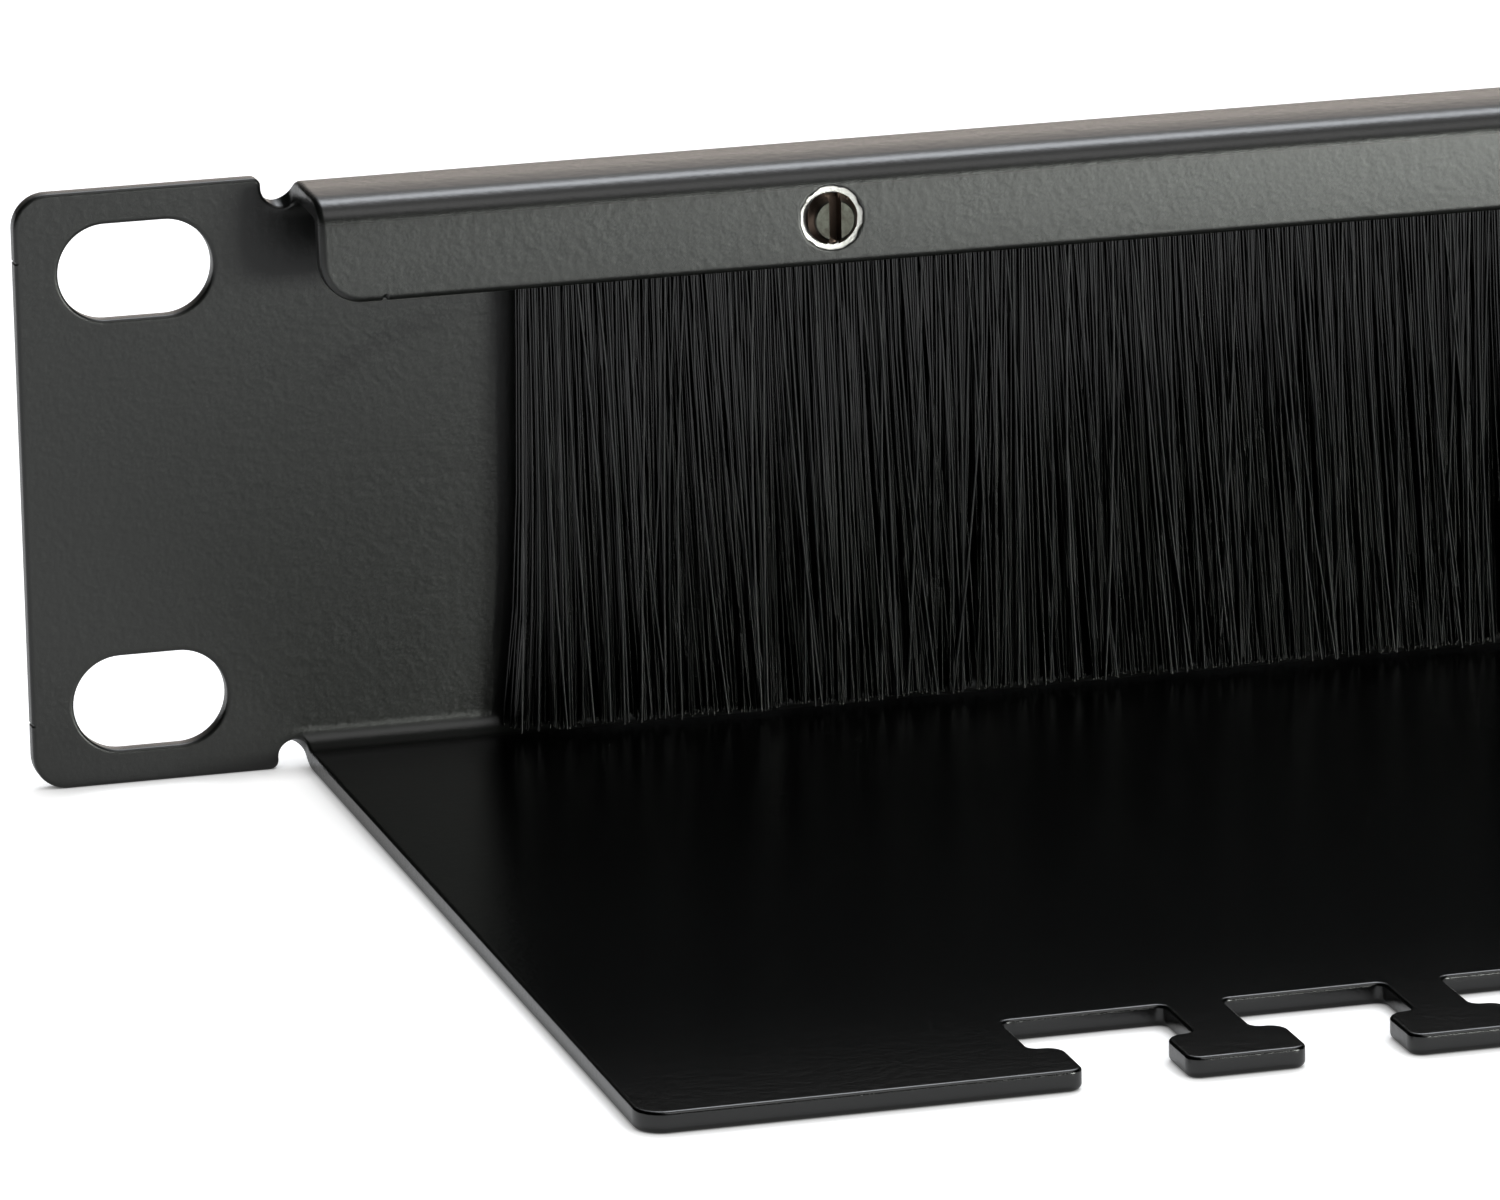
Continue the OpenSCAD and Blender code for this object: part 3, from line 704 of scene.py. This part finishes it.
# ---------------------------------------------------------------- bristles
def filament_tree(material):
    """Filaments packed in staggered rows at the root, that part into tufts towards their tips."""
    tree = bpy.data.node_groups.new("hang filaments", "GeometryNodeTree")
    face = tree.interface
    for name in ("Count", "Per Row", "Seed", "Left", "Pitch", "Front", "Row Gap", "Lean", "Tuft Lean",
                 "Own Lean", "Fore", "Clump", "Bow", "Thickness"):
        kind = "Int" if name in ("Count", "Per Row", "Seed") else "Float"
        face.new_socket(name=name, in_out="INPUT", socket_type="NodeSocket" + kind)
    face.new_socket(name="Geometry", in_out="OUTPUT", socket_type="NodeSocketGeometry")
    nodes = tree.nodes
    given, out = nodes.new("NodeGroupInput").outputs, nodes.new("NodeGroupOutput")

    put, maths = partial(wire, tree), partial(combine, tree)

    def times(*factors):
        result = factors[0]
        for factor in factors[1:]:
            result = maths("MULTIPLY", result, factor)
        return result

    def total(*terms):
        result = terms[0]
        for term in terms[1:]:
            result = maths("ADD", result, term)
        return result

    seeds = iter(range(1, 60))

    def random(low, high, key=None):
        """A random number for each filament, or one for all that share a key."""
        n = nodes.new("FunctionNodeRandomValue")
        n.data_type = "FLOAT"
        n.inputs[2].default_value, n.inputs[3].default_value = low, high
        put(maths("ADD", given["Seed"], next(seeds) * 101), n.inputs["Seed"])
        if key is not None:
            put(key, n.inputs["ID"])
        return n.outputs[1]

    def noise(x, scale):
        n = nodes.new("ShaderNodeTexNoise")
        n.noise_dimensions = "1D"
        n.inputs["Scale"].default_value = scale
        n.inputs["Detail"].default_value = 1.0
        put(x, n.inputs["W"])
        return maths("SUBTRACT", n.outputs["Fac"], 0.5)

    def stored(geometry, name, value):
        n = nodes.new("GeometryNodeStoreNamedAttribute")
        n.data_type, n.domain = "FLOAT", "POINT"
        n.inputs["Name"].default_value = name
        put(geometry, n.inputs["Geometry"])
        put(value, n.inputs["Value"])
        return n.outputs[0]

    def read(name):
        n = nodes.new("GeometryNodeInputNamedAttribute")
        n.data_type = "FLOAT"
        n.inputs["Name"].default_value = name
        return n.outputs[0]

    def vector(*parts):
        n = nodes.new("ShaderNodeCombineXYZ")
        for socket, value in zip(n.inputs, parts):
            put(value, socket)
        return n.outputs[0]

    index = nodes.new("GeometryNodeInputIndex").outputs[0]
    row = maths("FLOOR", maths("DIVIDE", index, given["Per Row"]))
    column = maths("SUBTRACT", index, times(row, given["Per Row"]))
    stagger = times(maths("MODULO", row, 2.0), 0.5)
    x = total(given["Left"], times(given["Pitch"], total(column, stagger, random(0.0, 0.35))))
    y = total(given["Front"], times(row, given["Row Gap"]), random(-0.05 * MM, 0.05 * MM))
    points = nodes.new("GeometryNodePoints")
    put(given["Count"], points.inputs["Count"])
    put(vector(x, y, ROOT_Z * MM), points.inputs["Position"])

    # neighbours cling together in tufts; a slow drift of the lean runs along the brush
    edges = maths("ADD", maths("DIVIDE", x, TUFT_WIDTH), times(noise(x, 260.0), 3.0))
    tuft = maths("ADD", maths("FLOOR", edges), times(maths("FLOOR", maths("DIVIDE", row, 2.0)), 1000.0))
    lean = total(given["Lean"], times(noise(x, 90.0), LEAN_DRIFT),
                 times(random(-1.0, 1.0, tuft), given["Tuft Lean"]),
                 times(total(random(-0.6, 0.6), random(-0.6, 0.6)), given["Own Lean"]))
    # at the brush's ends they splay outwards instead
    to_end = maths("SUBTRACT", BRUSH_HALF * MM, maths("ABSOLUTE", x))
    splay = times(maths("SIGN", x), maths("EXPONENT", maths("DIVIDE", to_end, -SPLAY_FADE)),
                  total(SPLAY, times(row, SPLAY_PER_ROW)))
    calm = maths("SUBTRACT", 1.0, maths("EXPONENT", maths("DIVIDE", to_end, -CALM_FADE)))
    # small clumps draw together towards their tips and leave gaps between them
    clump = total(maths("DIVIDE", x, given["Clump"]), times(noise(x, 900.0), 2.5),
                  times(maths("FLOOR", maths("DIVIDE", row, 3.0)), 0.41))
    inside = maths("SUBTRACT", maths("SUBTRACT", clump, maths("FLOOR", clump)), 0.5)
    drawn = times(inside, given["Clump"], -CLUMP_DRAW)
    g = stored(points.outputs[0], "side", times(maths("ADD", lean, drawn), calm))
    g = stored(g, "splay", splay)
    g = stored(g, "bow", times(random(-1.0, 1.0), given["Bow"]))
    g = stored(g, "fore", times(total(random(-1.0, 0.6), random(-1.0, 0.6, tuft)), given["Fore"]))
    g = stored(g, "cut", times(random(0.0, 1.0), random(0.0, TIPS_UNEVEN)))
    g = stored(g, "thick", times(given["Thickness"], random(0.82, 1.08)))

    line = nodes.new("GeometryNodeCurvePrimitiveLine")
    line.inputs["End"].default_value = (0, 0, (TIP_Z - ROOT_Z) * MM)
    joints = nodes.new("GeometryNodeResampleCurve")
    joints.inputs["Count"].default_value = 5
    put(line.outputs[0], joints.inputs["Curve"])
    place = nodes.new("GeometryNodeInstanceOnPoints")
    put(g, place.inputs["Points"])
    put(joints.outputs[0], place.inputs["Instance"])
    real = nodes.new("GeometryNodeRealizeInstances")
    put(place.outputs[0], real.inputs[0])

    t = nodes.new("GeometryNodeSplineParameter").outputs["Factor"]
    belly = times(t, maths("SUBTRACT", 1.0, t), 4.0)
    dx = total(times(maths("POWER", t, 1.25), read("side")), times(maths("POWER", t, 3.2), read("splay")),
               times(belly, read("bow")))
    bend = nodes.new("GeometryNodeSetPosition")
    put(real.outputs[0], bend.inputs["Geometry"])
    put(vector(dx, times(t, read("fore")), times(t, read("cut"))), bend.inputs["Offset"])
    section = nodes.new("GeometryNodeCurvePrimitiveCircle")
    section.inputs["Resolution"].default_value = 4
    section.inputs["Radius"].default_value = 1.0
    tube = nodes.new("GeometryNodeCurveToMesh")
    put(bend.outputs[0], tube.inputs["Curve"])
    put(section.outputs[0], tube.inputs["Profile Curve"])
    put(read("thick"), tube.inputs["Scale"])
    tube.inputs["Fill Caps"].default_value = True
    last = nodes.new("GeometryNodeRealizeInstances")
    put(tube.outputs[0], last.inputs[0])
    dress = nodes.new("GeometryNodeSetMaterial")
    dress.inputs["Material"].default_value = material
    put(last.outputs[0], dress.inputs["Geometry"])
    put(dress.outputs[0], out.inputs[0])
    return tree


def filaments(name, tree, values):
    """One length of the brush as a plain mesh."""
    hung = add_piece(name, bpy.data.meshes.new(name))
    grow = hung.modifiers.new("filaments", "NODES")
    grow.node_group = tree
    for item in tree.interface.items_tree:
        if item.in_out == "INPUT":
            grow[item.identifier] = values[item.name]
    bpy.context.view_layer.update()
    mesh = bpy.data.meshes.new_from_object(hung.evaluated_get(bpy.context.evaluated_depsgraph_get()))
    hung.modifiers.remove(grow)
    hung.data = mesh
    mesh.name = name
    # the sides are shaded round; the cut ends stay flat
    smooth = np.array([len(p.vertices) == 4 and abs(p.normal.z) < 0.7 for p in mesh.polygons])
    mesh.polygons.foreach_set("use_smooth", smooth)
    for attribute in ("side", "splay", "bow", "fore", "cut", "thick"):
        if attribute in mesh.attributes:
            mesh.attributes.remove(mesh.attributes[attribute])
    return hung


def pack_heart(material):
    """The dense middle of the pack, ribbed like the filaments that hide it."""
    bm = bmesh.new()
    half, count, top = BRUSH_HALF - 0.5, 1200, HOLDER_END + 0.5
    mid = PACK_REAR - 0.3
    rng = np.random.default_rng(5)
    front, back = [], []
    for i in range(count + 1):
        x = -half + 2 * half * i / count
        low = TIP_Z + 2.2 + rng.uniform(0, 0.8)
        swell = 0.16 if i % 2 else 0.06
        front.append((bm.verts.new((x, mid - swell, low)), bm.verts.new((x, mid - swell, top))))
        back.append((bm.verts.new((x, mid + swell, low)), bm.verts.new((x, mid + swell, top))))
    for side in (front, back):
        for a, b in zip(side, side[1:]):
            bm.faces.new((a[0], b[0], b[1], a[1]))
    for k in (0, 1):
        for i in range(count):
            bm.faces.new((front[i][k], front[i + 1][k], back[i + 1][k], back[i][k]))
    for i in (0, count):
        bm.faces.new((front[i][0], front[i][1], back[i][1], back[i][0]))
    bmesh.ops.recalc_face_normals(bm, faces=bm.faces[:])
    mesh = bpy.data.meshes.new("pack_heart")
    bm.to_mesh(mesh)
    bm.free()
    mesh.transform(Matrix.Scale(MM, 4))
    mesh.materials.append(material)
    return mesh


# ---------------------------------------------------------------- studio
def soft_box(name, target, azimuth, elevation, distance, size, radiance, colour):
    """A lit panel that faces target. Azimuth 0 stands behind the object at +Y, 90 at +X."""
    a, e = math.radians(azimuth), math.radians(elevation)
    away = Vector((math.sin(a) * math.cos(e), math.cos(a) * math.cos(e), math.sin(e)))
    lamp = bpy.data.lights.new(name, "AREA")
    lamp.shape = "RECTANGLE"
    lamp.size, lamp.size_y = size
    lamp.energy = radiance * size[0] * size[1] * math.pi
    lamp.color = colour
    obj = bpy.data.objects.new(name, lamp)
    bpy.context.scene.collection.objects.link(obj)
    obj.location = Vector(target) + away * distance
    obj.rotation_mode = "QUATERNION"
    obj.rotation_quaternion = away.to_track_quat("Z", "Y")
    obj.visible_camera = False
    return obj


def studio(*glows):
    """The room that lights the object and mirrors in it; looked at straight, it is plain white.

    Each soft glow is round, along, spread, radiance, colour: degrees round the panel's length (0 level
    behind it, 90 overhead, 180 level in front), degrees towards its right end, and how wide and bright it is.
    """
    world = bpy.data.worlds.new("studio")
    bpy.context.scene.world = world
    world.use_nodes = True
    nodes, links = world.node_tree.nodes, world.node_tree.links
    nodes.clear()
    where = nodes.new("ShaderNodeTexCoord")
    total = None
    for round_, along, spread, radiance, colour in glows:
        a, e = math.radians(round_), math.radians(along)
        near = nodes.new("ShaderNodeVectorMath")
        near.operation = "DOT_PRODUCT"
        near.inputs[1].default_value = (math.sin(e), math.cos(a) * math.cos(e), math.sin(a) * math.cos(e))
        links.new(where.outputs["Generated"], near.inputs[0])
        power = nodes.new("ShaderNodeMath")
        power.operation = "MULTIPLY_ADD"
        power.inputs[1].default_value = 1 / math.radians(spread) ** 2
        power.inputs[2].default_value = math.log(radiance) - 1 / math.radians(spread) ** 2
        links.new(near.outputs["Value"], power.inputs[0])
        glow = nodes.new("ShaderNodeMath")
        glow.operation = "EXPONENT"
        links.new(power.outputs[0], glow.inputs[0])
        tinted = nodes.new("ShaderNodeVectorMath")
        tinted.operation = "MULTIPLY_ADD"
        tinted.inputs[1].default_value = colour
        links.new(glow.outputs[0], tinted.inputs[0])
        if total:
            links.new(total, tinted.inputs[2])
        total = tinted.outputs[0]
    lit, seen = nodes.new("ShaderNodeBackground"), nodes.new("ShaderNodeBackground")
    links.new(total, lit.inputs["Color"])
    seen.inputs["Color"].default_value = (1, 1, 1, 1)
    seen.inputs["Strength"].default_value = 1.0
    path, mix = nodes.new("ShaderNodeLightPath"), nodes.new("ShaderNodeMixShader")
    links.new(path.outputs["Is Camera Ray"], mix.inputs[0])
    links.new(lit.outputs[0], mix.inputs[1])
    links.new(seen.outputs[0], mix.inputs[2])
    links.new(mix.outputs[0], nodes.new("ShaderNodeOutputWorld").inputs[0])


def camera():
    data = bpy.data.cameras.new("camera")
    data.lens, data.sensor_width = CAMERA_LENS, CAMERA_SENSOR
    data.clip_start, data.clip_end = 0.05, 20.0
    obj = bpy.data.objects.new("camera", data)
    bpy.context.scene.collection.objects.link(obj)
    place, aim = Vector(CAMERA_PLACE) * MM, Vector(CAMERA_AIM) * MM
    level = (aim - place).to_track_quat("-Z", "Y").to_matrix()
    turn = level @ Matrix.Rotation(math.radians(CAMERA_ROLL), 3, "Z")
    obj.location = place
    obj.rotation_mode = "QUATERNION"
    obj.rotation_quaternion = turn.to_quaternion()
    bpy.context.scene.camera = obj


# ---------------------------------------------------------------- the pieces
coat, steel, screws, zinc = powder_coat(), bare_steel(), screw_steel(), zinc_plate()
# the loose filaments get a lighter, duller copy of the nylon: painted light, for how they catch the light in
# front of the pack
hair, loose_hair = nylon("nylon", 0.0022, 0.09, 0.30), nylon("loose_nylon_painted_light", 0.011, 0.28, 0.42)

sheet = add_piece("folded_sheet", sheet_mesh(coat, steel))
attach(sheet, "root")
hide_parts("panel")

tree, loose_tree = filament_tree(hair), filament_tree(loose_hair)
step = 2 * BRUSH_HALF / LENGTHS
for i in range(LENGTHS):
    values = {"Left": (-BRUSH_HALF + i * step) * MM, "Pitch": step / PER_ROW * MM, "Per Row": PER_ROW,
              "Count": PER_ROW * ROWS, "Front": (PACK_FRONT + 0.14) * MM,
              "Row Gap": (PACK_REAR - PACK_FRONT - 0.28) / (ROWS - 1) * MM,
              "Lean": 1.2 * MM, "Tuft Lean": 1.0 * MM, "Own Lean": 0.7 * MM, "Fore": 0.4 * MM,
              "Clump": 0.9 * MM, "Bow": 0.3 * MM, "Thickness": 0.098 * MM, "Seed": i + 3}
    row = filaments(f"filaments_{i + 1}", tree, values)
    values.update({"Count": LOOSE, "Per Row": LOOSE, "Pitch": step / LOOSE * MM,
                   "Front": (PACK_FRONT + 0.02) * MM, "Tuft Lean": 1.2 * MM, "Own Lean": 2.2 * MM,
                   "Fore": 0.5 * MM, "Bow": 0.6 * MM, "Thickness": 0.105 * MM, "Seed": i + 31})
    loose = filaments(f"loose_filaments_{i + 1}", loose_tree, values)
    for piece in (row, loose):
        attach(piece, "root")
        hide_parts("bristles")
heart = add_piece("pack_heart", pack_heart(hair))
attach(heart, "root")
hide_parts("bristles")

for i, x in enumerate(SCREW_X):
    name = f"set_screw_{i + 1}"
    piece = add_piece(f"threaded_screw_{i + 1}", screw_mesh(screws, steel, x, i))
    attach(piece, "root")
    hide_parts(name)

for name, finish in (("brush_holder", zinc), ("core_wire", steel)):
    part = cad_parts[name]
    part.data.materials.clear()
    part.data.materials.append(finish)

# ---------------------------------------------------------------- floor, light and camera
ground = bpy.data.meshes.new("floor")
ground.from_pydata([(-6, -6, 0), (6, -6, 0), (6, 6, 0), (-6, 6, 0)], [], [(0, 1, 2, 3)])
ground.transform(Matrix.Translation((0, 0, -HALF_HEIGHT * MM - 0.00002)))
ground.materials.append(floor_white())
floor = add_piece("floor", ground)

studio((3, 15, 11, 1.05, WARM), (0, 32, 10, 0.9, WARM), (27, 15, 12, 0.33, PLAIN), (59, 15, 10, 6.6, COOL),
       (88, 15, 9, 1.0, PLAIN), (118, 15, 10, 1.4, PLAIN), (137, 15, 9, 1.6, PLAIN))
soft_box("front_box", (-0.20, 0, 0.0), 147, 0, 0.65, (0.26, 0.155), 22.0, MOSS)
camera()

bpy.context.scene.view_settings.view_transform = "Standard"
